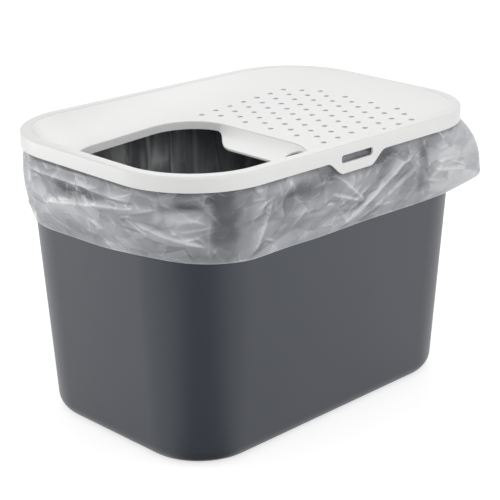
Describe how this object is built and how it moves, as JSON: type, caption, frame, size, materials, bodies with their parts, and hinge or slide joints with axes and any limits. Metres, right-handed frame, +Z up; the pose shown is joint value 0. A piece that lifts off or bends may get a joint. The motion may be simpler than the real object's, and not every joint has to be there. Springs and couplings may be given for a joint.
{
  "type": "top entry litter box",
  "caption": "Tapered plastic litter tub with a film liner folded over its rim and a lift-off lid that has a sloping perforated deck and an entry opening.",
  "frame": {"origin": "middle of the lid's outline, at the level of the floor that the tub's foot stands on", "axes": "+X along the long side, away from the entry opening; -Y towards the long side whose tab the picture shows; +Z up"},
  "size_m": [0.585, 0.4079, 0.402],
  "materials": {
    "tub_plastic": "satin moulded polypropylene, slate grey",
    "lid_plastic": "satin moulded polypropylene, white",
    "film": "thin milky polyethylene film, wrinkled"
  },
  "bodies": {
    "tub": {"tub": "tub_plastic", "liner_bag": "film"},
    "lid": {"lid": "lid_plastic"}
  },
  "joints": [
    {"name": "lid_lift", "type": "slide", "parent": "tub", "child": "lid", "axis": [0, 0, 1], "range_m": [0, 0.1]}
  ]
}
